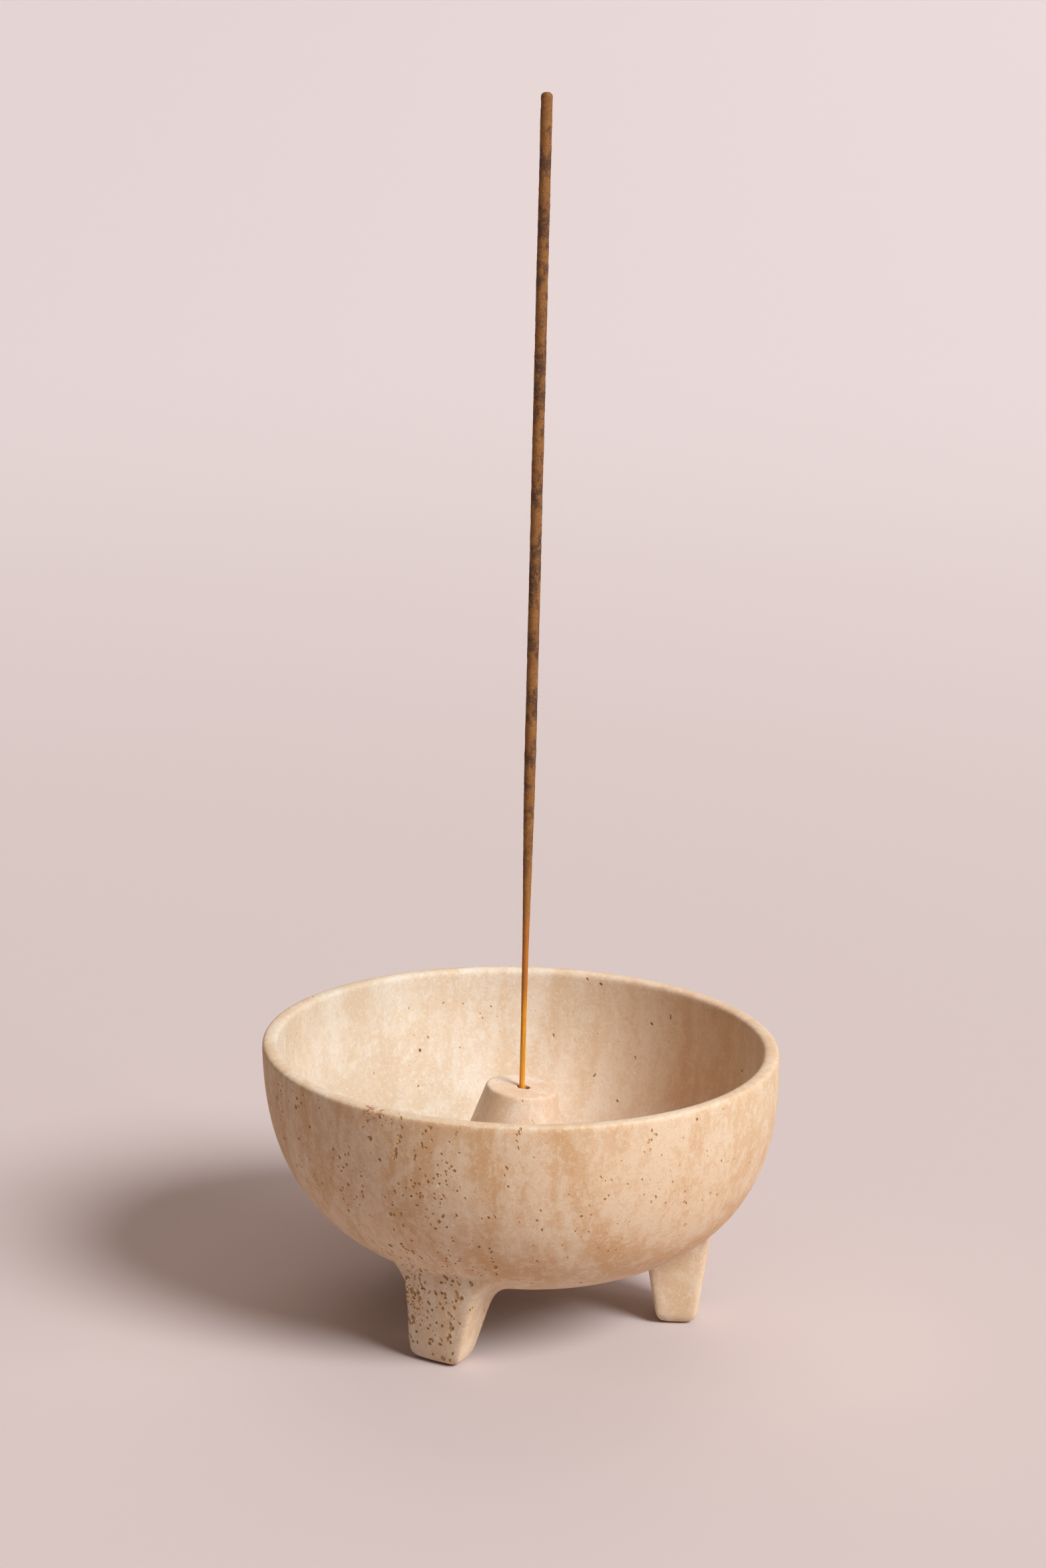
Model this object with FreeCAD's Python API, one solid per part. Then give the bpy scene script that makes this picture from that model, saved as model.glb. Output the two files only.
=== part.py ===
import FreeCAD, Part
import math
import os

os.makedirs("parts", exist_ok=True)

# Sizes in millimetres. +Z is up, the feet stand on Z = 0, and Z runs through the middle of the rim.

# Bowl: a round body carved from one block of travertine, fuller than a half ellipsoid.
rim_diameter = 120.0
overall_height = 66.4
body_depth = 53.0
body_fullness = 2.6
body_drift = 2.4
underside_radius = 15.0
rim_wall = 3.7
rim_edge_round = 1.0
floor_thickness = 8.4
hollow_fullness = 2.4
floor_radius = 24.0

# Legs: three tapering blocks of the same stone, flat on the outside.
leg_count = 3
leg_middle_radius = 36.0
sole_depth = 9.3
sole_width = 12.0
sole_outer_width = 13.2
sole_outer_shift = 0.9
sole_round = 2.6
leg_inner_slope = 0.185
leg_outer_slope = 0.125
leg_width_growth = 0.27
leg_side_lean = 0.125
leg_root_height = 5.2
leg_root_spread = 1.7
leg_root_limit = 1.4

# Stick holder: a loose stone cone with its top cut off, leaning a little, standing on the bowl's floor.
holder_top_diameter = 16.4
holder_top_height = 55.6
holder_top_offset = 0.5
holder_half_angle = 15.0
holder_lean = 5.5
holder_edge_round = 0.7
stick_hole_diameter = 2.9
stick_hole_depth = 14.0
stick_hole_side = 0.4

# Incense stick: a bamboo core with a paste coat that thins towards the bare end.
core_diameter = 1.2
stick_length = 244.6
stick_hole_offset = -0.35
coat_diameter = 2.55
coat_tip_cover = 1.2
coat_bare_length = 32.0
coat_taper_length = 62.0
coat_end_wall = 0.06
coat_tip_round = 0.7

rim_radius = rim_diameter / 2


def body_wall_depth(radius):
    """Depth below the rim at which the outside of the body has a radius."""
    return body_depth * (1 - (radius / rim_radius) ** body_fullness) ** (1 / body_fullness)


# Heights that follow from the sizes above.
underside_height = overall_height - body_wall_depth(underside_radius)
floor_height = underside_height + floor_thickness
leg_top = floor_height + floor_thickness
stick_hole_floor = holder_top_height - stick_hole_depth


def root_spread(height, radius):
    """How far the leg has spread at one height, where it runs into the body at one radius."""
    start = overall_height - body_wall_depth(radius) - leg_root_height
    risen = max(0, height - start) / leg_root_height
    return leg_root_spread * min(risen, leg_root_limit) ** 3


def leg_section(height):
    """Closed outline of the leg on +X at one height: it widens as it rises, and spreads into the body."""
    half_growth = leg_width_growth * height / 2
    middle = leg_side_lean * height
    outer_middle = middle + sole_outer_shift
    outside = leg_middle_radius + sole_depth / 2 + leg_outer_slope * height
    inside = leg_middle_radius - sole_depth / 2 - leg_inner_slope * height
    outer_half = sole_outer_width / 2 + half_growth + root_spread(height, leg_middle_radius + sole_depth / 2)
    inner_half = sole_width / 2 + half_growth + root_spread(height, leg_middle_radius - sole_depth / 2)
    outer_points = []
    for side in (outer_middle - outer_half, outer_middle, outer_middle + outer_half):
        outer_points.append(FreeCAD.Vector(math.sqrt(outside ** 2 - side ** 2), side, height))
    inner_low = FreeCAD.Vector(inside, middle - inner_half, height)
    inner_high = FreeCAD.Vector(inside, middle + inner_half, height)
    return Part.Wire([
        Part.makeLine(inner_high, inner_low),
        Part.makeLine(inner_low, outer_points[0]),
        Part.Arc(*outer_points).toShape(),
        Part.makeLine(outer_points[2], inner_high),
    ])


# Bowl body: level circles from the rim down to the flat underside, each moved a little further along +X.
rim_middle = FreeCAD.Vector(0, 0, overall_height)
section_count = 9
last_angle = math.acos((underside_radius / rim_radius) ** (body_fullness / 2))
body_sections = []
for index in range(section_count):
    angle = last_angle * index / (section_count - 1)
    radius = rim_radius * math.cos(angle) ** (2 / body_fullness)
    depth = body_wall_depth(radius)
    centre = FreeCAD.Vector(body_drift * depth / body_depth, 0, overall_height - depth)
    circle = Part.makeCircle(radius, centre, FreeCAD.Vector(0, 0, 1))
    circle.rotate(centre, FreeCAD.Vector(0, 0, 1), 180 / leg_count)
    body_sections.append(Part.Wire([circle]))
body = Part.makeLoft(body_sections, True, False)

# Legs: each runs from its sole up into the body, where its outer face comes level with the wall.
leg_section_count = 12
leg_sections = []
for index in range(leg_section_count):
    leg_sections.append(leg_section(leg_top * index / (leg_section_count - 1)))
leg = Part.makeLoft(leg_sections, True, False)
sole_edges = [edge for edge in leg.Edges if edge.BoundBox.ZMax < 0.01]
leg = leg.makeFillet(sole_round, sole_edges)
leg.translate(FreeCAD.Vector(body_drift, 0, 0))
legs = []
for index in range(leg_count):
    turned = leg.copy()
    turned.rotate(FreeCAD.Vector(body_drift, 0, 0), FreeCAD.Vector(0, 0, 1), index * 360 / leg_count)
    legs.append(turned)
bowl = body.fuse(legs)

# Hollow: turned about the rim's axis, with a flat spot on its floor for the stick holder.
hollow_depth = overall_height - floor_height
hollow_radius = rim_radius - rim_wall
wall_points = []
hollow_steps = 12
for index in range(hollow_steps + 1):
    angle = index / hollow_steps * math.pi / 2
    radius = floor_radius + (hollow_radius - floor_radius) * math.cos(angle) ** (2 / hollow_fullness)
    depth = rim_edge_round + (hollow_depth - rim_edge_round) * math.sin(angle) ** (2 / hollow_fullness)
    wall_points.append(FreeCAD.Vector(radius, 0, overall_height - depth))
wall_curve = Part.BSplineCurve()
wall_curve.interpolate(wall_points, InitialTangent=FreeCAD.Vector(0, 0, -1), FinalTangent=FreeCAD.Vector(-1, 0, 0))
floor_middle = FreeCAD.Vector(0, 0, floor_height)
lip_edge = FreeCAD.Vector(hollow_radius + rim_edge_round, 0, overall_height)
lip_middle = lip_edge + FreeCAD.Vector(
    -rim_edge_round * math.sin(math.radians(45)), 0, -rim_edge_round * (1 - math.cos(math.radians(45))))
hollow_outline = Part.Wire([
    wall_curve.toShape(),
    Part.makeLine(wall_points[-1], floor_middle),
    Part.makeLine(floor_middle, rim_middle),
    Part.makeLine(rim_middle, lip_edge),
    Part.Arc(lip_edge, lip_middle, wall_points[0]).toShape(),
])
hollow = Part.Face(hollow_outline).revolve(FreeCAD.Vector(0, 0, 0), FreeCAD.Vector(0, 0, 1), 360)
bowl = bowl.cut(hollow)
rim_edges = []
for edge in bowl.Edges:
    if edge.BoundBox.ZMin > overall_height - 0.01 and edge.BoundBox.XMax > rim_radius - rim_edge_round:
        rim_edges.append(edge)
bowl = bowl.makeFillet(rim_edge_round, rim_edges)
bowl = bowl.Solids[0]
bowl.exportStep("parts/bowl.step")

# Stick holder: the cone is made longer than needed and cut level where it stands on the floor.
holder_top_radius = holder_top_diameter / 2
holder_axis = FreeCAD.Vector(math.sin(math.radians(holder_lean)), 0, math.cos(math.radians(holder_lean)))
holder_top_middle = FreeCAD.Vector(holder_top_offset, 0, holder_top_height)
cone_length = (holder_top_height - floor_height) * 1.3
cone_base_radius = holder_top_radius + cone_length * math.tan(math.radians(holder_half_angle))
cone_base_middle = holder_top_middle - holder_axis * cone_length
holder = Part.makeCone(cone_base_radius, holder_top_radius, cone_length, cone_base_middle, holder_axis)
below_floor = Part.makeBox(rim_diameter, rim_diameter, overall_height)
below_floor.translate(FreeCAD.Vector(-rim_radius, -rim_radius, floor_height - overall_height))
holder = holder.cut(below_floor)
top_edges = [edge for edge in holder.Edges if edge.BoundBox.ZMin > holder_top_height - holder_top_radius]
top_edges = [edge for edge in top_edges if edge.Closed]
holder = holder.makeFillet(holder_edge_round, top_edges)
stick_hole_middle = holder_top_offset + stick_hole_side
stick_hole = Part.makeCylinder(stick_hole_diameter / 2, overall_height)
stick_hole.translate(FreeCAD.Vector(stick_hole_middle, 0, stick_hole_floor))
holder = holder.cut(stick_hole).Solids[0]
holder.exportStep("parts/stick_holder.step")

# Incense stick: it stands upright in the loose hole, nearer one side of it, with its foot on the hole's floor.
stick_foot = FreeCAD.Vector(stick_hole_middle + stick_hole_offset, 0, stick_hole_floor)
core_radius = core_diameter / 2
coat_radius = coat_diameter / 2
core_length = stick_length - coat_tip_cover
core = Part.makeCylinder(core_radius, core_length, stick_foot)
core.exportStep("parts/bamboo_core.step")

# The coat: full width at the top, thinning over its lowest stretch to almost nothing on the bamboo.
coat_bottom = coat_bare_length
taper_top = coat_bare_length + coat_taper_length
end_radius = core_radius + coat_end_wall
taper_points = [
    FreeCAD.Vector(end_radius, 0, coat_bottom),
    FreeCAD.Vector(end_radius + 0.12 * (coat_radius - end_radius), 0, coat_bottom + 0.25 * coat_taper_length),
    FreeCAD.Vector(end_radius + 0.38 * (coat_radius - end_radius), 0, coat_bottom + 0.5 * coat_taper_length),
    FreeCAD.Vector(end_radius + 0.80 * (coat_radius - end_radius), 0, coat_bottom + 0.75 * coat_taper_length),
    FreeCAD.Vector(coat_radius, 0, taper_top),
]
taper_curve = Part.BSplineCurve()
taper_curve.interpolate(taper_points)
side_top = FreeCAD.Vector(coat_radius, 0, stick_length)
tip_middle = FreeCAD.Vector(0, 0, stick_length)
core_top_middle = FreeCAD.Vector(0, 0, core_length)
core_top_side = FreeCAD.Vector(core_radius, 0, core_length)
core_low_side = FreeCAD.Vector(core_radius, 0, coat_bottom)
coat_outline = Part.Wire([
    taper_curve.toShape(),
    Part.makeLine(taper_points[-1], side_top),
    Part.makeLine(side_top, tip_middle),
    Part.makeLine(tip_middle, core_top_middle),
    Part.makeLine(core_top_middle, core_top_side),
    Part.makeLine(core_top_side, core_low_side),
    Part.makeLine(core_low_side, taper_points[0]),
])
coat = Part.Face(coat_outline).revolve(FreeCAD.Vector(0, 0, 0), FreeCAD.Vector(0, 0, 1), 360)
tip_edges = [edge for edge in coat.Edges if edge.BoundBox.ZMin > stick_length - 0.01 and edge.Closed]
coat = coat.makeFillet(coat_tip_round, tip_edges)
coat.translate(stick_foot)
coat = coat.Solids[0]
coat.exportStep("parts/incense_coat.step")
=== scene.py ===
import math
import random

import bmesh
import bpy
import numpy as np
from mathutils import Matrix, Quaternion, Vector
from mathutils.bvhtree import BVHTree
from mathutils.kdtree import KDTree


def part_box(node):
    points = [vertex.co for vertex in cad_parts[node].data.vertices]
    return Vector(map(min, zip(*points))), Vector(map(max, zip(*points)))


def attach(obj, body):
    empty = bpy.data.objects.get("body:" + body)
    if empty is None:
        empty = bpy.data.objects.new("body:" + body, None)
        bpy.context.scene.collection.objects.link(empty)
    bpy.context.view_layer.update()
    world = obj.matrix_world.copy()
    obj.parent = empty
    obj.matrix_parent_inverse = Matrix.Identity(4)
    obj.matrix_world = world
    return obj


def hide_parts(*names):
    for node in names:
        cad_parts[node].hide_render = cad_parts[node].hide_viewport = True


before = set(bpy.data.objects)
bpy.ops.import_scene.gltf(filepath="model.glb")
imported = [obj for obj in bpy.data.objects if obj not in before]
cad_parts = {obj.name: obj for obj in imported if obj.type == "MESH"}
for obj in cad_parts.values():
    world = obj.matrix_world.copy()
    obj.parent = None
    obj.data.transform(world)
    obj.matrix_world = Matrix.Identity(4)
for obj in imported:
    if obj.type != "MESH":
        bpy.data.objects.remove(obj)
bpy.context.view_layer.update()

scene = bpy.context.scene

# Bowl: one block of travertine, turned outside, hollowed, and carved away under the body to leave three legs.
# The honed stone is left unfilled, so the natural holes along its upright beds stay open.
# It stands free on the three soles, and nothing is fixed to it.
bowl_grain = 0.0005
bowl_leg_root = 0.019
bowl_wall_foot = 0.027
bowl_leg_softness = 1.0
bowl_wall_softness = 0.1
bowl_rubbings = 40
bowl_face_share = 0.09


def placed(name, data):
    """A new object at the origin, with a mesh, a lamp or a camera."""
    made = bpy.data.objects.new(name, data)
    scene.collection.objects.link(made)
    return made


def joined_copy(node, name):
    """A new object with a copy of a node's mesh, its loose triangles joined."""
    joined = bmesh.new()
    joined.from_mesh(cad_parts[node].data)
    bmesh.ops.remove_doubles(joined, verts=joined.verts, dist=1e-6)
    mesh = bpy.data.meshes.new(name)
    joined.to_mesh(mesh)
    joined.free()
    return placed(name, mesh)


def settle(piece):
    """Turns a piece's modifiers into plain mesh."""
    depsgraph = bpy.context.evaluated_depsgraph_get()
    mesh = bpy.data.meshes.new_from_object(piece.evaluated_get(depsgraph))
    piece.modifiers.clear()
    piece.data = mesh


def vertex_table(piece, normals=False):
    """The places, or the normals, of a piece's vertices as rows of three."""
    count = len(piece.data.vertices)
    table = np.zeros(count * 3, np.float32)
    if normals:
        piece.data.vertex_normals.foreach_get("vector", table)
    else:
        piece.data.vertices.foreach_get("co", table)
    return table.reshape(count, 3).astype(float)


def even_stone(piece, grain):
    """Remakes a stone in small even faces."""
    remesh = piece.modifiers.new("even", "REMESH")
    remesh.mode = "VOXEL"
    remesh.voxel_size = grain
    settle(piece)


def honed(piece, softness, passes, share):
    """Rounds edges by hand-rubbing, more where softness is higher, and thins out the faces to a share."""
    group = piece.vertex_groups.new(name="softness")
    for step in np.unique(softness):
        group.add(np.nonzero(softness == step)[0].tolist(), float(step), "REPLACE")
    smooth = piece.modifiers.new("rub", "SMOOTH")
    smooth.factor = 0.5
    smooth.iterations = passes
    smooth.vertex_group = group.name
    thin = piece.modifiers.new("thin", "DECIMATE")
    thin.ratio = share
    settle(piece)
    piece.vertex_groups.clear()


bowl = joined_copy("bowl", "travertine_bowl")
even_stone(bowl, bowl_grain)
height = vertex_table(bowl)[:, 2]
softness = np.interp(height, [bowl_leg_root, bowl_wall_foot], [bowl_leg_softness, bowl_wall_softness])
honed(bowl, softness.round(2), bowl_rubbings, bowl_face_share)

# Open pits of the bowl: holes that plant stems and gas left in the stone, some in chains along the beds.
# Each chosen pit is its angle round the rim in degrees, its height and its width in millimetres.
bowl_outside_pits = [
    (-144.5, 62.5, 1.1), (-145.2, 60.2, 1.2), (-148.6, 60.5, 0.6), (-136.4, 64.6, 0.5), (-136.3, 62.8, 0.6),
    (-119.0, 64.8, 1.7), (-122.5, 62.0, 1.0), (-121.7, 59.5, 1.7), (-113.5, 65.6, 0.9), (-113.3, 63.4, 0.8),
    (-113.6, 61.6, 1.2), (-113.8, 60.3, 1.4), (-114.6, 58.3, 1.3), (-114.8, 57.3, 1.2), (-115.3, 55.9, 1.2),
    (-106.4, 64.9, 1.3), (-107.9, 63.7, 0.8), (-106.6, 61.7, 0.9), (-108.3, 59.7, 1.1), (-107.8, 59.5, 0.8),
    (-110.2, 57.0, 1.3), (-100.6, 64.5, 0.7), (-102.6, 61.9, 0.7), (-132.4, 53.7, 0.8), (-128.6, 53.8, 0.7),
    (-127.6, 53.9, 0.8), (-126.9, 55.6, 0.6), (-128.2, 51.3, 0.8), (-131.3, 49.9, 0.6), (-132.5, 51.6, 0.7),
    (-121.3, 55.5, 0.6), (-123.2, 52.4, 0.7), (-124.6, 50.4, 0.7), (-124.3, 49.5, 0.7), (-124.6, 46.9, 1.0),
    (-124.9, 45.4, 1.0), (-124.9, 44.0, 0.8), (-115.6, 47.7, 1.1), (-109.2, 47.6, 1.0), (-108.7, 47.8, 0.7),
    (-105.9, 47.6, 0.9), (-106.0, 48.8, 0.7), (-104.0, 48.8, 0.8), (-99.0, 48.7, 0.9), (-106.0, 52.8, 0.8),
    (-105.0, 53.3, 0.9), (-104.4, 53.7, 0.6), (-103.5, 54.6, 0.8), (-102.9, 56.8, 0.8), (-102.3, 55.8, 0.8),
    (-108.1, 52.6, 0.8), (-109.2, 54.6, 0.7), (-110.7, 50.7, 0.6), (-117.1, 41.0, 0.9), (-114.9, 41.4, 0.8),
    (-101.2, 44.1, 1.1), (-105.3, 41.9, 1.0), (-105.5, 41.2, 0.8), (-107.6, 40.6, 0.8), (-108.0, 42.2, 0.7),
    (-104.0, 43.8, 0.7), (-106.4, 39.5, 0.8), (-118.3, 36.5, 0.8), (-122.0, 30.7, 1.5), (-117.7, 32.6, 1.0),
    (-116.5, 31.0, 1.4), (-115.6, 30.8, 1.5), (-121.8, 26.9, 1.0), (-102.9, 37.5, 0.8), (-102.7, 36.5, 0.8),
    (-109.2, 37.1, 0.6), (-114.0, 34.5, 0.9), (-96.3, 35.8, 0.8), (-93.9, 35.4, 1.0), (-93.8, 34.2, 1.0),
    (-93.7, 32.5, 0.9), (-93.7, 31.2, 0.9), (-93.0, 29.0, 1.2), (-92.7, 26.7, 1.1), (-92.4, 44.2, 0.8),
    (-87.4, 44.6, 0.5), (-87.3, 65.9, 0.9), (-87.7, 65.0, 1.1), (-88.0, 64.6, 1.0), (-87.8, 63.1, 0.7),
    (-87.7, 61.8, 0.8), (-58.1, 63.8, 0.9), (-57.6, 62.8, 0.9), (-58.3, 61.5, 1.2), (-58.6, 59.2, 0.9),
    (-59.9, 59.0, 0.7), (-65.3, 57.6, 0.6), (-69.8, 54.3, 0.7), (-67.3, 53.4, 0.6), (-44.8, 57.7, 0.6),
    (-42.7, 54.5, 0.6), (-37.7, 52.1, 0.9), (-35.4, 51.1, 0.8), (-32.6, 51.3, 0.6), (-38.1, 64.9, 0.7),
    (-55.9, 47.1, 0.9), (-57.0, 46.5, 0.7), (-47.6, 44.2, 0.7), (-47.0, 44.1, 0.7), (-41.6, 43.2, 0.7),
    (-44.9, 37.5, 1.1), (-64.7, 41.7, 0.6), (-71.8, 47.2, 0.7), (-71.4, 44.8, 0.7), (-82.5, 46.6, 0.8),
    (-76.5, 50.4, 0.6), (-82.1, 31.8, 1.0), (-76.8, 36.8, 0.7), (-83.7, 36.9, 0.6), (-67.8, 35.3, 0.6),
    (-75.0, 32.9, 0.6), (-125.1, 23.6, 0.6), (-122.4, 24.3, 0.5), (-118.0, 23.5, 0.9), (-118.1, 22.4, 1.3),
    (-118.8, 21.4, 1.0), (-116.0, 24.0, 0.8), (-116.9, 20.6, 1.0), (-117.8, 19.4, 1.0), (-123.2, 20.9, 0.7),
    (-124.1, 16.9, 1.0), (-122.2, 17.2, 1.2), (-120.9, 16.9, 1.4), (-119.6, 17.0, 1.3), (-119.5, 16.1, 1.4),
    (-121.5, 13.5, 1.2), (-120.2, 13.1, 1.2), (-122.4, 11.1, 1.3), (-121.6, 10.7, 1.2), (-123.8, 9.4, 1.2),
    (-109.7, 23.3, 1.0), (-108.8, 22.6, 1.1), (-107.1, 22.3, 0.8), (-105.4, 22.7, 0.8), (-111.0, 21.4, 1.0),
    (-113.1, 18.3, 1.2), (-114.9, 18.7, 0.8), (-109.6, 18.9, 1.1), (-109.4, 17.8, 1.1), (-105.5, 19.6, 1.4),
    (-105.6, 18.6, 1.6), (-106.1, 17.4, 1.2), (-106.9, 15.8, 1.5), (-107.7, 13.4, 1.3), (-108.3, 11.9, 1.3),
    (-107.2, 10.5, 1.8), (-109.4, 7.3, 1.8), (-108.2, 6.9, 1.0), (-115.9, 6.2, 1.2), (-115.8, 5.2, 1.2),
    (-111.6, 6.6, 1.1), (-111.7, 5.5, 1.0), (-115.3, 15.2, 1.3), (-111.9, 15.9, 0.9), (-110.8, 14.9, 1.1),
    (-114.3, 14.1, 0.8), (-125.0, 5.9, 1.0), (-123.6, 5.5, 1.1), (-125.1, 7.3, 0.7), (-101.0, 22.0, 1.4),
    (-104.7, 11.9, 0.9), (-111.3, 1.9, 1.4), (-108.9, 1.6, 1.3), (-115.3, 2.5, 0.8), (-107.7, 4.2, 0.8),
    (28.0, 60.0, 1.3), (28.6, 57.2, 1.1), (27.8, 54.6, 0.9), (61.0, 48.0, 1.2), (60.2, 45.5, 1.0),
    (84.0, 62.0, 1.2), (97.0, 52.0, 1.0), (96.2, 49.6, 1.2), (121.0, 15.0, 1.2), (118.4, 10.0, 1.0),
    (123.0, 19.0, 1.1), (140.0, 40.0, 1.1), (152.0, 58.0, 1.2), (151.4, 55.0, 0.9), (171.0, 47.0, 1.0),
    (-8.0, 44.0, 0.8), (8.0, 61.0, 1.0), (-170.0, 36.0, 1.0),
]
bowl_inside_pits = [
    (99.8, 56.9, 0.8), (76.1, 65.0, 0.9), (52.5, 59.1, 1.1), (57.8, 56.5, 0.9), (84.3, 50.5, 0.8),
    (116.7, 50.7, 0.8), (72.1, 42.3, 0.9), (61.7, 47.8, 0.8), (64.5, 37.3, 0.9), (112.1, 58.6, 0.8),
    (107.1, 57.8, 0.6), (102.7, 55.3, 0.7), (102.0, 54.3, 0.6), (120.4, 51.4, 0.5), (107.9, 47.4, 0.5),
    (98.4, 54.5, 0.5), (52.4, 53.2, 0.8), (40.2, 64.1, 0.6), (-60.0, 52.0, 0.9), (-95.0, 58.0, 0.8),
    (-130.0, 44.0, 0.8), (-20.0, 50.0, 0.7),
]
# How thickly small pits lie: angle, height, reach in degrees and millimetres, and share of the thickest.
bowl_pitted_places = [
    (-115, 12, 9, 12, 4.2), (-113, 27, 13, 6, 1.3), (-117, 48, 18, 14, 1.1), (-104, 46, 9, 11, 0.8),
    (-143, 56, 14, 11, 0.6), (-60, 48, 26, 13, 0.2), (121, 14, 10, 10, 1.4), (95, 50, 14, 14, 0.32),
    (30, 52, 10, 14, 0.28), (150, 50, 10, 14, 0.34), (178, 38, 10, 10, 0.2), (62, 36, 12, 10, 0.24),
]
bowl_outside_pitted = 0.016
bowl_inside_pitted = 0.012
bowl_thickest = 800000.0
bowl_pit_widths = (0.00022, 0.00105)
bowl_pit_seed = 3
bowl_dice_seed = 4

# Colour of the bowl: the stone is paler where it was cut last, all over the hollow and partly on the lip,
# on the legs and in a patch high on the right of the wall. Each tone multiplies red, green and blue.
# In the hollow the tone goes by the angle round the rim and is partly painted light: paler at the back of the
# hollow and redder on its right. The low left has painted shade, a little darker where the window falls full
# on it.
bowl_pale = (0.79, 0.635, 0.465, 1)
bowl_tan = (0.715, 0.495, 0.318, 1)
bowl_deep = (0.615, 0.367, 0.186, 1)
bowl_cloudiness = 0.5
bowl_bed_turn = 30
bowl_bed_shift = (0.031, 0.017, 0.0)
bowl_sole_flat = 0.0002
bowl_floor = 0.0215
bowl_lip = 0.0659
bowl_leg_fresh = 0.5
bowl_lip_fresh = 0.6
bowl_patch_fresh = 0.45
bowl_patch_angle = -22
bowl_patch_reach = 26
bowl_patch_heights = (0.046, 0.058)
bowl_outside_tone = (1.12, 1.34, 1.58)
# Tones of the hollow by angle round the rim: paler stone, with painted light at the back and on the right.
bowl_tone_angles = [-180, 20, 40, 62, 80, 106, 130, 180]
bowl_hollow_tones_and_painted_light = [
    (1.03, 1.28, 1.62), (1.10, 1.18, 1.32), (1.14, 1.18, 1.32), (1.20, 1.31, 1.52), (1.20, 1.41, 1.72),
    (1.16, 1.45, 1.86), (1.05, 1.31, 1.66), (1.03, 1.28, 1.62),
]
# Painted shade: the hollow is drawn darker by a share low in its left, where the window falls full on it.
bowl_painted_shade_angles = (90, 112)
bowl_painted_shade_heights = (0.034, 0.054)
bowl_painted_shade_share = 0.20


class Signal:
    """One socket of a node tree: arithmetic on it adds Math nodes, and node() adds any other node."""

    def __init__(self, tree, socket=None):
        self.tree = tree
        self.socket = socket

    def node(self, kind, settings=None, sockets=None, output=0):
        """Adds a node, sets its settings, then its sockets' values or links, and gives one output."""
        made = self.tree.nodes.new(kind)
        for name, value in (settings or {}).items():
            setattr(made, name, value)
        for name, value in (sockets or {}).items():
            for one in value if isinstance(value, list) else [value]:
                if isinstance(one, Signal):
                    self.tree.links.new(one.socket, made.inputs[name])
                else:
                    made.inputs[name].default_value = one
        return Signal(self.tree, made.outputs[output])

    def maths(self, operation, first, second=0.0):
        return self.node("ShaderNodeMath", {"operation": operation}, {0: first, 1: second})

    def __add__(self, other):
        return self.maths("ADD", self, other)

    __radd__ = __add__

    def __sub__(self, other):
        return self.maths("SUBTRACT", self, other)

    def __rsub__(self, other):
        return self.maths("SUBTRACT", other, self)

    def __mul__(self, other):
        return self.maths("MULTIPLY", self, other)

    __rmul__ = __mul__

    def __pow__(self, other):
        return self.maths("POWER", self, other)

    def __abs__(self):
        return self.maths("ABSOLUTE", self)

    def between(self, low, high):
        """0 below low, 1 above high, and a smooth rise between them."""
        sockets = {"Value": self, "From Min": low, "From Max": high}
        return self.node("ShaderNodeMapRange", {"interpolation_type": "SMOOTHSTEP"}, sockets)

    def noise(self, scale, detail, rough=0.5, bend=0.0, stretch=(1.0, 1.0, 1.0)):
        """Noise over a place, which is stretched first."""
        spread = self.node("ShaderNodeVectorMath", {"operation": "MULTIPLY"}, {0: self, 1: stretch})
        sockets = {"Vector": spread, "Scale": scale, "Detail": detail, "Roughness": rough, "Distortion": bend}
        return self.node("ShaderNodeTexNoise", None, sockets)

    def mixed(self, first, second, way="MIX"):
        """The first colour where the signal is 0, and the second where it is 1."""
        settings = {"data_type": "RGBA", "blend_type": way}
        return self.node("ShaderNodeMix", settings, {0: self, 6: first, 7: second}, 2)


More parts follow.
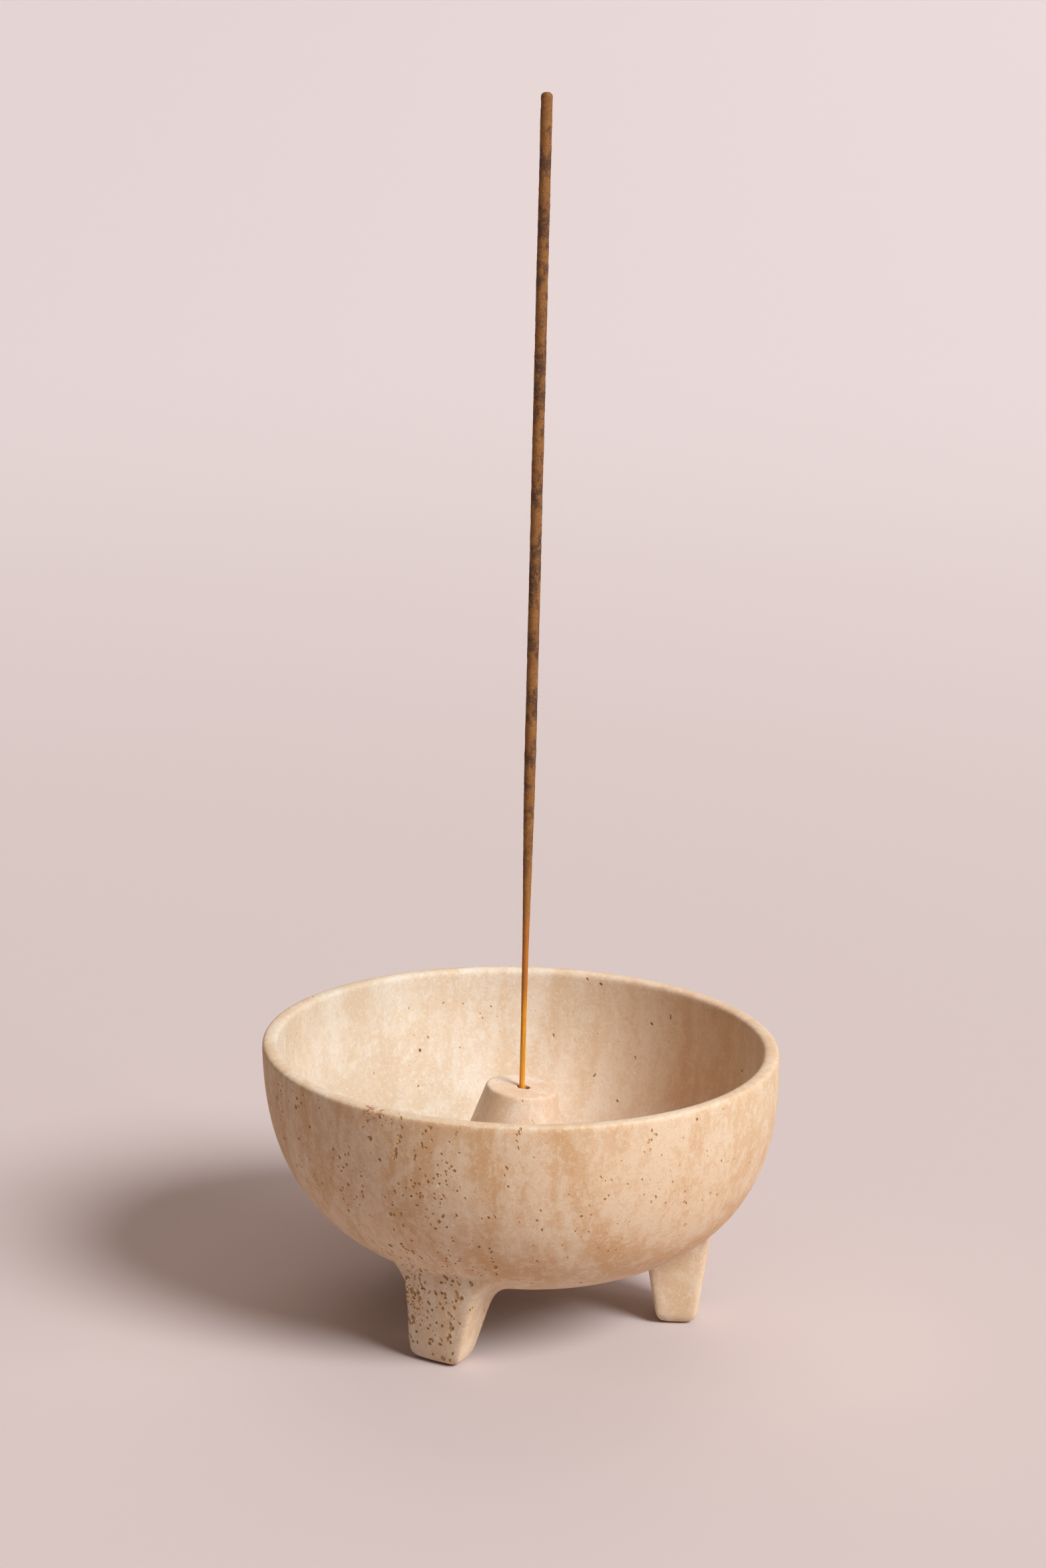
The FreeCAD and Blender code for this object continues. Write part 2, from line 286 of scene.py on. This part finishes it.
def stone_pits():
    """Nodes that cut scattered and chosen pits out of a stone and mark the faces inside them."""
    shape_count = 5
    shape_step = 3.7
    lump_depth = 0.85
    narrow_share = 2.4
    coarse_width = 0.00062
    width_seed, shape_seed, tilt_seed, stretch_seed = 11, 5, 7, 9
    tree = bpy.data.node_groups.new("stone_pits", "GeometryNodeTree")
    inputs = {
        "Stone": "NodeSocketGeometry", "Chosen pits": "NodeSocketObject", "Thickest": "NodeSocketFloat",
        "Least width": "NodeSocketFloat", "Most width": "NodeSocketFloat", "Seed": "NodeSocketInt",
        "Finish": "NodeSocketMaterial",
    }
    for name, kind in inputs.items():
        tree.interface.new_socket(name, in_out="INPUT", socket_type=kind)
    tree.interface.new_socket("Stone", in_out="OUTPUT", socket_type="NodeSocketGeometry")
    start = tree.nodes.new("NodeGroupInput")
    stone, chosen, thickest, least, most, seed, finish = (
        Signal(tree, socket) for socket in start.outputs[:len(inputs)])

    def store(shape, name, domain, value):
        settings = {"data_type": "FLOAT", "domain": domain}
        sockets = {"Geometry": shape, "Name": name, "Value": value}
        return shape.node("GeometryNodeStoreNamedAttribute", settings, sockets)

    def stored(name):
        return stone.node("GeometryNodeInputNamedAttribute", {"data_type": "FLOAT"}, {"Name": name})

    place = stone.node("GeometryNodeInputPosition")
    patchy = place.noise(scale=1.0, detail=2.0, stretch=(170.0, 130.0, 60.0)).between(0.42, 0.68)
    spread = {"Mesh": stone, "Density": stored("pitted") * patchy * thickest, "Seed": seed}
    points = stone.node("GeometryNodeDistributePointsOnFaces", {"distribute_method": "RANDOM"}, spread)
    chance = stone.node("FunctionNodeRandomValue", {"data_type": "FLOAT"}, {"Seed": width_seed}, 1)
    points = store(points, "width", "POINT", least + (most - least) * chance ** narrow_share)
    picked = {"Object": chosen}
    picked = chosen.node("GeometryNodeObjectInfo", {"transform_space": "ORIGINAL"}, picked, "Geometry")
    picked = picked.node("GeometryNodeMeshToPoints", None, {"Mesh": picked})
    points = points.node("GeometryNodeJoinGeometry", None, {"Geometry": [points, picked]})

    blobs = []
    for index in range(2 * shape_count):
        fineness = 2 if index < shape_count else 1
        ball = stone.node("GeometryNodeMeshIcoSphere", None, {"Radius": 0.5, "Subdivisions": fineness})
        lumps = {"W": index * shape_step, "Scale": 2.4, "Detail": 1.0}
        lumps = place.node("ShaderNodeTexNoise", {"noise_dimensions": "4D"}, lumps, "Color")
        lumps = lumps.node("ShaderNodeVectorMath", {"operation": "SUBTRACT"}, {0: lumps, 1: (0.5, 0.5, 0.5)})
        lumps = lumps.node("ShaderNodeVectorMath", {"operation": "SCALE"}, {0: lumps, "Scale": lump_depth})
        ball = ball.node("GeometryNodeSetPosition", None, {"Geometry": ball, "Offset": lumps})
        ball = store(ball, "pit", "FACE", 1.0)
        blobs.append(ball.node("GeometryNodeGeometryToInstance", None, {"Geometry": ball}))
    blobs = stone.node("GeometryNodeJoinGeometry", None, {"Geometry": blobs})

    width = stored("width")
    coarse = width.maths("GREATER_THAN", width, coarse_width)
    shapes = {4: 0, 5: shape_count - 1, "Seed": shape_seed}
    shape = stone.node("FunctionNodeRandomValue", {"data_type": "INT"}, shapes, 2)
    tilts = {0: (-0.5, -0.5, 0.0), 1: (0.5, 0.5, 6.28), "Seed": tilt_seed}
    tilt = stone.node("FunctionNodeRandomValue", {"data_type": "FLOAT_VECTOR"}, tilts)
    stretches = {0: (0.7, 0.7, 0.85), 1: (1.05, 1.05, 1.5), "Seed": stretch_seed}
    stretch = stone.node("FunctionNodeRandomValue", {"data_type": "FLOAT_VECTOR"}, stretches)
    size = stretch.node("ShaderNodeVectorMath", {"operation": "SCALE"}, {0: stretch, "Scale": width})
    cutters = {
        "Points": points, "Instance": blobs, "Pick Instance": True,
        "Instance Index": shape + (1 - coarse) * shape_count, "Rotation": tilt, "Scale": size,
    }
    cutters = stone.node("GeometryNodeInstanceOnPoints", None, cutters)
    cut = {"Mesh 1": store(stone, "pit", "FACE", 0.0), "Mesh 2": cutters}
    cut = stone.node("GeometryNodeMeshBoolean", {"operation": "DIFFERENCE", "solver": "MANIFOLD"}, cut)
    cut = cut.node("GeometryNodeRealizeInstances", None, {"Geometry": cut})
    cut = cut.node("GeometryNodeSetMaterial", None, {"Geometry": cut, "Material": finish})
    end = tree.nodes.new("NodeGroupOutput")
    tree.links.new(cut.socket, end.inputs["Stone"])
    return tree


def mark(mesh, name, values):
    """Keeps a number, or a colour, for each vertex of a mesh."""
    kind, field = ("FLOAT", "value") if values.ndim == 1 else ("FLOAT_COLOR", "color")
    mesh.attributes.new(name, kind, "POINT").data.foreach_set(field, values.ravel())


def smoothed(mesh, sharpest):
    """Shades a mesh as smooth, apart from the edges that turn by more degrees than the sharpest."""
    for polygon in mesh.polygons:
        polygon.use_smooth = True
    mesh.set_sharp_from_angle(angle=math.radians(sharpest))


def chosen_pits(piece, name, outside, inside, dice):
    """Points on a stone for the chosen pits, each a short winding row, given by angle, height and width."""
    beyond = 0.1
    inside_size = 0.95
    row_points = 2.6
    row_step = 0.00031
    tree = BVHTree.FromObject(piece, bpy.context.evaluated_depsgraph_get())
    places, widths = [], []
    for pits, start, way, size in ((outside, beyond, -1, 1.0), (inside, 0.0, 1, inside_size)):
        for angle, level, wide in pits:
            turn = Vector((math.cos(math.radians(angle)), math.sin(math.radians(angle)), 0))
            spot = tree.ray_cast(turn * start + Vector((0, 0, level / 1000)), turn * way)[0]
            if spot is None:
                continue
            for _ in range(2 + int(wide * row_points)):
                places.append(spot)
                widths.append(wide / 1000 * size * dice.uniform(0.30, 0.78))
                step = Vector((dice.uniform(-1, 1), dice.uniform(-1, 1), dice.uniform(-1.4, 1.4)))
                spot = tree.find_nearest(spot + step * row_step * wide)[0]
    mesh = bpy.data.meshes.new(name)
    mesh.from_pydata(places, [], [])
    mark(mesh, "width", np.array(widths))
    return placed(name, mesh)


def cut_pits(piece, chosen, widths, seed, finish):
    """Cuts pits out of a stone: scattered ones by its pitted attribute, and the chosen ones."""
    pit_edge = 38
    modifier = piece.modifiers.new("pits", "NODES")
    modifier.node_group = pit_nodes
    values = {"Chosen pits": chosen, "Thickest": bowl_thickest, "Least width": widths[0],
              "Most width": widths[1], "Seed": seed, "Finish": finish}
    for item in pit_nodes.interface.items_tree:
        if item.in_out == "INPUT" and item.name in values:
            modifier[item.identifier] = values[item.name]
    settle(piece)
    bpy.data.objects.remove(chosen)
    piece.data.attributes.remove(piece.data.attributes["pitted"])
    smoothed(piece.data, pit_edge)


def new_finish(name, specular):
    """A new material, its shader, and a signal from which its nodes are made."""
    material = bpy.data.materials.new(name)
    material.use_nodes = True
    shader = material.node_tree.nodes["Principled BSDF"]
    shader.inputs["Specular IOR Level"].default_value = specular
    return material, shader, Signal(material.node_tree)


def dressed(shader, colour, rough, relief, strength, depth):
    """Joins a colour, a roughness and a fine relief to a shader."""
    sockets = {"Strength": strength, "Distance": depth, "Height": relief}
    bump = relief.node("ShaderNodeBump", None, sockets)
    for name, signal in (("Base Color", colour), ("Roughness", rough), ("Normal", bump)):
        signal.tree.links.new(signal.socket, shader.inputs[name])


def travertine(name, shift, bed_turn, pale, tan, deep, cloudiness):
    """Honed travertine: upright wavy beds of tan, cream clouds and growth lines in them, and ochre pits."""
    fleck_cream = (0.86, 0.72, 0.57, 1)
    grain_brown = (0.52, 0.36, 0.22, 1)
    pore_brown = (0.42, 0.25, 0.12, 1)
    rust_red = (0.42, 0.13, 0.045, 1)
    rust_spot = (-0.0303, -0.0503, 0.0664)
    earth_dark = (0.46, 0.25, 0.09, 1)
    earth_light = (0.72, 0.47, 0.23, 1)
    growth_lines = 9.0
    material, shader, here = new_finish(name, 0.28)

    def kept(attribute, output="Fac"):
        return here.node("ShaderNodeAttribute", {"attribute_name": attribute}, None, output)

    whole = here.node("ShaderNodeTexCoord", None, None, "Object")
    turned = {"Vector": whole, "Location": shift, "Rotation": (0, 0, math.radians(bed_turn))}
    place = here.node("ShaderNodeMapping", None, turned)
    fresh, tone, pit = kept("fresh"), kept("tone", "Color"), kept("pit")
    broad = place.noise(scale=100.0, detail=3.0, rough=0.55, bend=0.5, stretch=(1.0, 0.45, 0.20))
    streak = place.noise(scale=360.0, detail=3.0, rough=0.6, bend=0.3, stretch=(1.0, 0.4, 0.12))
    cloud = place.noise(scale=430.0, detail=7.0, rough=0.66, bend=0.35, stretch=(1.0, 1.0, 0.7))
    speck = place.noise(scale=1250.0, detail=4.0, rough=0.6, bend=0.2)
    grain = place.noise(scale=2600.0, detail=3.0, rough=0.6)
    pores = place.noise(scale=1900.0, detail=2.0).between(0.655, 0.715)
    flecks = place.noise(scale=1000.0, detail=2.0).between(0.67, 0.73)
    rosy = place.noise(scale=55.0, detail=2.0, bend=0.4, stretch=(1.0, 0.7, 0.5)).between(0.50, 0.70)
    growth = place.noise(scale=34.0, detail=1.5, rough=0.45, bend=0.5, stretch=(1.0, 0.6, 0.4)) * growth_lines
    growth = 1 - abs(growth.maths("FRACT", growth) - 0.5).between(0.0, 0.16)
    growth = growth * place.noise(scale=90.0, detail=1.0, stretch=(1.0, 1.0, 0.5)).between(0.42, 0.62)
    rust = here.node("ShaderNodeVectorMath", {"operation": "DISTANCE"}, {0: whole, 1: rust_spot}, "Value")
    rust = 1 - rust.between(0.0012, 0.0042)
    rust = rust * place.noise(scale=1150.0, detail=2.0, rough=0.6).between(0.50, 0.60)
    earth = place.noise(scale=700.0, detail=3.0, rough=0.6).between(0.35, 0.65).mixed(earth_dark, earth_light)

    beds = (broad * 0.75 + streak * 0.25).between(0.40, 0.60)
    beds = beds + (0.8 - beds) * fresh * (1.4 - fresh) * 1.2
    veil = (cloud + (broad - 0.5) * 0.5).between(0.45, 0.61)
    colour = beds.mixed(deep, tan)
    colour = (rosy * 0.35).mixed(colour, deep)
    colour = (veil * (1 - fresh * 0.45) * cloudiness).mixed(colour, pale)
    colour = (speck.between(0.52, 0.66) * 0.28).mixed(colour, pale)
    colour = (speck.between(0.48, 0.36) * 0.22).mixed(colour, deep)
    colour = (growth * (1 - fresh * 0.6) * 0.45).mixed(colour, pale)
    colour = (flecks * 0.3).mixed(colour, fleck_cream)
    colour = (grain.between(0.3, 0.7) * 0.16).mixed(colour, grain_brown)
    colour = (pores * 0.4).mixed(colour, pore_brown)
    # The kept tone multiplies the colour; in the bowl's hollow it holds painted light and painted shade as
    # well as paler stone.
    colour = fresh.mixed(colour, tone, "MULTIPLY")
    colour = (rust * 0.75).mixed(colour, rust_red)
    colour = (pit * 0.85).mixed(colour, earth)
    rough = 0.64 + cloud * 0.12 + pit * 0.2
    relief = grain * 0.5 + speck * 0.7 + cloud * 0.5 - pores * 0.8
    dressed(shader, colour, rough, relief, strength=0.28, depth=0.0002)
    return material


places, facing = vertex_table(bowl), vertex_table(bowl, normals=True)
levels = places[:, 2]
angles = np.degrees(np.arctan2(places[:, 1], places[:, 0]))
outside = (facing * (places * (1, 1, 0))).sum(1) > 0
pitted = np.full(len(places), bowl_outside_pitted)
for angle, level, wide, tall, share in bowl_pitted_places:
    apart = (angles - angle + 180) % 360 - 180
    near = np.exp(-(apart / wide) ** 2 - ((levels * 1000 - level) / tall) ** 2)
    pitted = np.maximum(pitted, share * near)
pitted = np.where(outside, pitted, bowl_inside_pitted)
pitted[levels < bowl_sole_flat] = 0
mark(bowl.data, "pitted", pitted)

fresh = np.interp(levels, [bowl_leg_root, bowl_wall_foot], [bowl_leg_fresh, 0.0])
apart = (angles - bowl_patch_angle) / bowl_patch_reach
patch = bowl_patch_fresh * np.exp(-apart ** 2) * np.interp(levels, bowl_patch_heights, [0, 1])
fresh = np.maximum(fresh, patch)
fresh[levels > bowl_lip] = bowl_lip_fresh
fresh[~outside & (levels > bowl_floor)] = 1.0
# The hollow's tone by angle, which holds painted light.
hollow_tone_painted_light_and_shade = np.stack([np.interp(angles, bowl_tone_angles, part) for part in zip(*bowl_hollow_tones_and_painted_light)], 1)
# Painted shade, darker low in the left of the hollow.
painted_shade = np.interp(angles, bowl_painted_shade_angles, [0, 1]) * np.interp(levels, bowl_painted_shade_heights, [bowl_painted_shade_share, 0])
hollow_tone_painted_light_and_shade = hollow_tone_painted_light_and_shade * (1 - painted_shade)[:, None]
tone = np.where((fresh < 1)[:, None], bowl_outside_tone, hollow_tone_painted_light_and_shade)
tone = np.concatenate([tone, np.ones((len(tone), 1))], 1)

bowl_stone = travertine("bowl_travertine", bowl_bed_shift, bowl_bed_turn, bowl_pale, bowl_tan, bowl_deep,
                        bowl_cloudiness)
pit_nodes = stone_pits()
bowl_dice = random.Random(bowl_dice_seed)
points = chosen_pits(bowl, "bowl_chosen_pits", bowl_outside_pits, bowl_inside_pits, bowl_dice)
cut_pits(bowl, points, bowl_pit_widths, bowl_pit_seed, bowl_stone)

# The cut leaves the pits' new vertices without a tone, so every vertex takes that of the nearest old one.
before = KDTree(len(places))
for index, place in enumerate(places):
    before.insert(place, index)
before.balance()
nearest = [before.find(vertex.co)[1] for vertex in bowl.data.vertices]
mark(bowl.data, "tone", tone[nearest])
mark(bowl.data, "fresh", fresh[nearest])
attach(bowl, "bowl")
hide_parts("bowl")

# Stick holder: a loose cone of the same stone with its top cut off and one hole drilled down from the top.
# It was sawn from a denser bed, so it has hardly any pits, and its top shows the bed's fine streaks.
# It stands by its own weight on the flat middle of the bowl.
holder_grain = 0.0003
holder_softness = 0.3
holder_rubbings = 4
holder_face_share = 0.25
holder_outside_pits = [
    (-95.0, 50.0, 0.45), (-68.0, 50.4, 0.5), (-113.0, 47.5, 0.5), (-72.0, 45.0, 0.5), (-60.0, 44.0, 0.4),
    (20.0, 48.0, 0.5), (70.0, 40.0, 0.6), (130.0, 50.0, 0.5), (170.0, 36.0, 0.6), (-150.0, 42.0, 0.5),
    (100.0, 30.0, 0.6), (-30.0, 33.0, 0.5),
]
holder_pitted = 0.02
holder_pit_widths = (0.00025, 0.0005)
holder_pit_seed = 6
holder_dice_seed = 8
holder_hole_reach = 0.0019
holder_hole_slope = 0.5
holder_pale = (0.88, 0.77, 0.66, 1)
holder_tan = (0.84, 0.68, 0.53, 1)
holder_deep = (0.76, 0.545, 0.375, 1)
holder_cloudiness = 0.5
holder_bed_turn = 68
holder_bed_shift = (0.2, 0.11, 0.02)
core_low, core_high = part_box("bamboo_core")

holder = joined_copy("stick_holder", "travertine_holder")
even_stone(holder, holder_grain)
honed(holder, np.full(len(holder.data.vertices), holder_softness), holder_rubbings, holder_face_share)
mark(holder.data, "pitted", np.full(len(holder.data.vertices), holder_pitted))
holder_stone = travertine("holder_travertine", holder_bed_shift, holder_bed_turn, holder_pale, holder_tan,
                          holder_deep, holder_cloudiness)
holder_dice = random.Random(holder_dice_seed)
points = chosen_pits(holder, "holder_chosen_pits", holder_outside_pits, [], holder_dice)
cut_pits(holder, points, holder_pit_widths, holder_pit_seed, holder_stone)

# The drilled hole's wall is drawn darker, in the pits' earthy colour.
darkened_hole_wall = holder.data.attributes["pit"].data
for polygon in holder.data.polygons:
    aside = Vector((polygon.center.x - (core_low.x + core_high.x) / 2, polygon.center.y))
    if aside.length < holder_hole_reach and polygon.normal.z < holder_hole_slope:
        darkened_hole_wall[polygon.index].value = 1.0
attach(holder, "holder")
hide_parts("stick_holder")

# Bamboo core: a splint split from a bamboo wall and drawn round, with long fibres along it.
# It is bare at its foot, which stands loose in the holder's hole, and the paste is rolled on higher up.
core_middle = (core_low + core_high) / 2
core_radius = (core_high.x - core_low.x) / 2
core_sides = 20
core_step = 0.0012
core_fullness = 1.07
core_flats = 0.02
core_flutes = 0.01
core_dark = (0.64, 0.225, 0.014, 1)
core_light = (0.91, 0.41, 0.030, 1)
core_patch = (0.94, 0.49, 0.052, 1)


def rod(name, radii, heights, middle, sides):
    """A closed upright rod: radii has one row of radii round the rod for each height."""
    end_edge = 50
    turns = np.arange(sides) / sides * 2 * math.pi
    rows = []
    for radius, level in zip(radii, heights):
        across, along = middle.x + radius * np.cos(turns), middle.y + radius * np.sin(turns)
        rows.append(np.stack([across, along, np.full(sides, level)], 1))
    faces = []
    for row in range(len(heights) - 1):
        for side in range(sides):
            near, far = row * sides + side, row * sides + (side + 1) % sides
            faces.append((near, far, far + sides, near + sides))
    faces.append(tuple(range(sides))[::-1])
    last = (len(heights) - 1) * sides
    faces.append(tuple(range(last, last + sides)))
    mesh = bpy.data.meshes.new(name)
    mesh.from_pydata(np.concatenate(rows).tolist(), [], faces)
    smoothed(mesh, end_edge)
    return placed(name, mesh)


heights = np.append(np.arange(core_low.z, core_high.z, core_step), core_high.z)
turns = np.arange(core_sides) / core_sides * 2 * math.pi
flats = np.cos(3 * turns[None, :] + 0.6 * np.sin(heights[:, None] * 90))
flutes = np.cos(7 * turns[None, :] + 1.3 + heights[:, None] * 40)
ripple = core_fullness - core_flats * (0.5 + 0.5 * flats) - core_flutes * (0.5 + 0.5 * flutes)
bamboo = rod("bamboo_splint", core_radius * ripple, heights, core_middle, core_sides)
bamboo_wood, shader, here = new_finish("split_bamboo", 0.4)
place = here.node("ShaderNodeTexCoord", None, None, "Object")
fibre = place.noise(scale=5200.0, detail=3.0, rough=0.6, stretch=(1.0, 1.0, 0.02))
patch = place.noise(scale=260.0, detail=2.0)
colour = fibre.between(0.35, 0.65).mixed(core_dark, core_light)
colour = (patch.between(0.5, 0.72) * 0.5).mixed(colour, core_patch)
dressed(shader, colour, 0.45 + fibre * 0.2, fibre, strength=0.4, depth=0.00005)
bamboo.data.materials.append(bamboo_wood)
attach(bamboo, "stick")
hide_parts("bamboo_core")

# Incense coat: wood powder and gum rolled on to the splint and dried, full width above and rubbed thin below.
# Its skin is dry and grainy, red-brown with darker bands where the paste lay thicker and damper.
# It is bonded to the bamboo and burns down with it.
coat_low, coat_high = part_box("incense_coat")
coat_middle = (coat_low + coat_high) / 2
coat_radius = (coat_high.x - coat_low.x) / 2
coat_thin = core_radius * 1.085
coat_sides = 36
coat_step = 0.00026
coat_taper = 0.062
coat_taper_places = [0, 0.25, 0.5, 0.75, 1]
coat_taper_shares = [0, 0.12, 0.46, 0.82, 1]
coat_tip = 0.0010
coat_tip_rows = 6
coat_tip_radius = 0.00012
coat_fullness = 0.025
coat_whole = 0.0003
coat_least_uneven = 0.12
coat_lumps = [(0.020, (22, 5)), (0.036, (3, 2)), (0.020, (0, 0))]
paste_damp = (0.100, 0.046, 0.026, 1)
paste_brown = (0.27, 0.115, 0.036, 1)
paste_blotch = (0.36, 0.165, 0.048, 1)
paste_lower = (0.42, 0.19, 0.050, 1)
paste_thin = (0.52, 0.175, 0.028, 1)
paste_worn = (0.84, 0.35, 0.026, 1)
paste_pale_grit = (0.48, 0.25, 0.09, 1)
paste_dark_grit = (0.070, 0.034, 0.018, 1)

tip_rise = np.sin(np.linspace(0, math.pi / 2, coat_tip_rows))
rows = np.concatenate([np.arange(coat_low.z, coat_high.z - coat_tip, coat_step),
                       coat_high.z - coat_tip * (1 - tip_rise)])
share = np.interp(np.clip((rows - coat_low.z) / coat_taper, 0, 1), coat_taper_places, coat_taper_shares)
profile = coat_thin + (coat_radius - coat_thin) * share
over = np.clip((rows - (coat_high.z - coat_tip)) / coat_tip, 0, 1)
profile = profile - coat_tip * (1 - np.sqrt(1 - over ** 2))
dice = np.random.default_rng(12)


def lumpy(shape, reach):
    """Smooth seeded unevenness round and along the coat, from -1 to 1."""
    wave = dice.standard_normal(shape)
    for axis, steps in enumerate(reach):
        total = np.zeros(shape)
        for shift in range(-steps, steps + 1):
            total = total + np.roll(wave, shift, axis)
        wave = total
    return np.clip(wave / (2.2 * wave.std()), -1, 1)


uneven = sum(depth * lumpy((len(rows), coat_sides), reach) for depth, reach in coat_lumps)
thickness = np.clip((profile[:, None] - coat_thin) / coat_whole, 0, 1)
radii = profile[:, None] * (1 + coat_fullness * thickness + uneven * np.maximum(thickness, coat_least_uneven))
coat = rod("incense_paste_coat", np.maximum(radii, coat_tip_radius), rows, coat_middle, coat_sides)
paste, shader, here = new_finish("dry_incense_paste", 0.2)
place = here.node("ShaderNodeTexCoord", None, None, "Object")
level = here.node("ShaderNodeSeparateXYZ", None, {0: place}, 2)
bands = place.noise(scale=1.0, detail=3.0, rough=0.65, stretch=(260.0, 260.0, 190.0))
grit = place.noise(scale=3200.0, detail=3.0, rough=0.7)
blotch = place.noise(scale=620.0, detail=3.0, rough=0.6)
lower = 1 - level.between(coat_low.z + 0.024, coat_low.z + 0.060)
thin = 1 - level.between(coat_low.z + 0.013, coat_low.z + 0.030)
worn = 1 - level.between(coat_low.z - 0.003, coat_low.z + 0.008)
grainy = 1 - thin * 0.55 - worn * 0.3
colour = bands.between(0.41, 0.57).mixed(paste_damp, paste_brown)
colour = (blotch.between(0.50, 0.66) * 0.5).mixed(colour, paste_blotch)
colour = (lower * 0.55).mixed(colour, paste_lower)
colour = (thin * 0.9).mixed(colour, paste_thin)
colour = worn.mixed(colour, paste_worn)
colour = (grit.between(0.54, 0.68) * grainy * 0.45).mixed(colour, paste_pale_grit)
colour = (grit.between(0.48, 0.36) * grainy * 0.6).mixed(colour, paste_dark_grit)
dressed(shader, colour, 0.78 + grit * 0.15, grit * 0.6 + blotch * 0.6, strength=0.6, depth=0.00012)
coat.data.materials.append(paste)
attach(coat, "stick")
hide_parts("incense_coat")

# Floor: a wide pale sheet of painted board under the feet, a little paler far away, and with painted light
# that makes it paler towards the right, where the window is.
# It is only the stage.
floor_radius = 7.0
floor_sides = 96
floor_near = (0.655, 0.574, 0.572, 1)
floor_far = (0.755, 0.690, 0.707, 1)
floor_shape = bmesh.new()
bmesh.ops.create_circle(floor_shape, cap_ends=True, segments=floor_sides, radius=floor_radius)
floor_mesh = bpy.data.meshes.new("floor")
floor_shape.to_mesh(floor_mesh)
floor_shape.free()
floor = placed("floor", floor_mesh)
paint, shader, here = new_finish("pale_floor_paint", 0.1)
shader.inputs["Roughness"].default_value = 0.85
place = here.node("ShaderNodeTexCoord", None, None, "Object")
away = here.node("ShaderNodeVectorMath", {"operation": "LENGTH"}, {0: place}, "Value")
across = here.node("ShaderNodeSeparateXYZ", None, {0: place}, 0)
# Painted light: the colour is scaled up towards the right, where the window is.
floor_colour_with_painted_light = {0: away.between(0.22, 1.3).mixed(floor_near, floor_far),
         "Scale": 0.945 + across.between(-0.8, 0.8) * 0.11}
colour = here.node("ShaderNodeVectorMath", {"operation": "SCALE"}, floor_colour_with_painted_light)
colour.tree.links.new(colour.socket, shader.inputs["Base Color"])
floor.data.materials.append(paint)

# Light: a wide soft window on the right, in front and above, its dimmer edge, and warm walls and ceiling.
# Each is its turn from +X to the front, its height and its width in degrees, its energy and its colour.
# The world gives hardly any light, and past the floor's edge it shows the floor's far colour.
daylight = (1.0, 1.0, 1.0)
warm_paint = (1.0, 0.81, 0.70)
faint_fill = (0.012, 0.010, 0.009, 1)
lamps = [
    ("window", 38.5, 40.0, 25.0, 3.12, daylight),
    ("window_edge", 14.0, 25.0, 18.0, 0.44, daylight),
    ("wall_behind", -90.0, 45.0, 50.0, 0.63, warm_paint),
    ("ceiling", 0.0, 89.0, 60.0, 0.50, warm_paint),
    ("wall_in_front", 120.0, 45.0, 50.0, 0.19, warm_paint),
]
for name, turn, rise, wide, energy, colour in lamps:
    light = bpy.data.lights.new(name, "SUN")
    light.energy = energy
    light.angle = math.radians(wide)
    light.color = colour
    turn, rise = math.radians(turn), math.radians(rise)
    level = math.cos(rise)
    toward = Vector((level * math.cos(turn), -level * math.sin(turn), math.sin(rise)))
    placed(name, light).rotation_euler = toward.to_track_quat("Z", "Y").to_euler()
world = bpy.data.worlds.new("fill")
scene.world = world
world.use_nodes = True
here = Signal(world.node_tree)
camera_ray = here.node("ShaderNodeLightPath", None, None, "Is Camera Ray")
glossy_ray = here.node("ShaderNodeLightPath", None, None, "Is Glossy Ray")
transmission_ray = here.node("ShaderNodeLightPath", None, None, "Is Transmission Ray")
colour = (camera_ray + glossy_ray + transmission_ray).mixed(faint_fill, floor_far)
colour.tree.links.new(colour.socket, world.node_tree.nodes["Background"].inputs["Color"])

# Camera: a long lens a little above the rim, turned a degree and a half, as the picture was taken.
# It looks at the lower half of the stick, and everything is in focus.
camera_aim = (-0.00096, 0.0, 0.12842)
camera_roll = 1.4156
lens = bpy.data.cameras.new("camera")
lens.lens = 108.66
lens.sensor_width = 36.0
lens.clip_end = 50.0
camera = placed("camera", lens)
camera.location = (0.04192, -1.04383, 0.41088)
aim = Vector(camera_aim) - camera.location
camera.rotation_mode = "QUATERNION"
camera.rotation_quaternion = aim.to_track_quat("-Z", "Y") @ Quaternion((0, 0, 1), math.radians(camera_roll))
scene.camera = camera
scene.view_settings.view_transform = "Standard"
